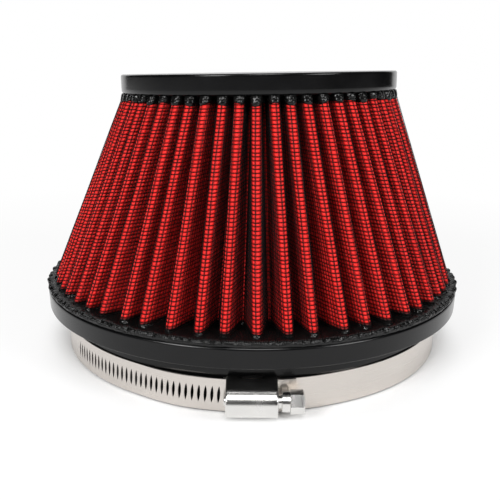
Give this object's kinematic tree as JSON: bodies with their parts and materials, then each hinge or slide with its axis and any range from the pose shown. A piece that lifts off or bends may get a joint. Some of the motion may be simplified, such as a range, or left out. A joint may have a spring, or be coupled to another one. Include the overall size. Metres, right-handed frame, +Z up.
{
  "type": "conical pleated air filter",
  "caption": "Tapered engine air filter with a red cotton pleat pack under black wire screen, a closed black top cap, and a black clamp-on base neck held by a steel worm-drive hose clamp.",
  "frame": {"origin": "centre of the inlet mouth, in the plane of the neck's lower rim, which is also the plane that the filter stands on", "axes": "+Z up along the filter's axis, from the inlet to the cap; -Y to the front, where the clamp screw is; +X the way the screw's head points"},
  "size_m": [0.1778, 0.1805, 0.1156],
  "materials": {
    "black_urethane": "satin moulded black",
    "black_wire": "black coated woven wire",
    "red_cotton": "oiled red cotton gauze",
    "satin_steel": "satin stainless strip",
    "polished_steel": "bright pressed steel"
  },
  "bodies": {
    "filter": {"base_flange": "black_urethane", "top_cap": "black_urethane", "outer_screen": "black_wire", "cotton_media": "red_cotton", "inner_screen": "black_wire", "clamp_band": "satin_steel", "clamp_saddle": "satin_steel", "clamp_housing": "polished_steel"},
    "screw": {"clamp_screw": "polished_steel"}
  },
  "joints": [
    {"name": "clamp_screw_turn", "type": "hinge", "parent": "filter", "child": "screw", "pos_m": [0, -0.08605, 0.0068], "axis": [1, 0, 0], "continuous": true}
  ]
}
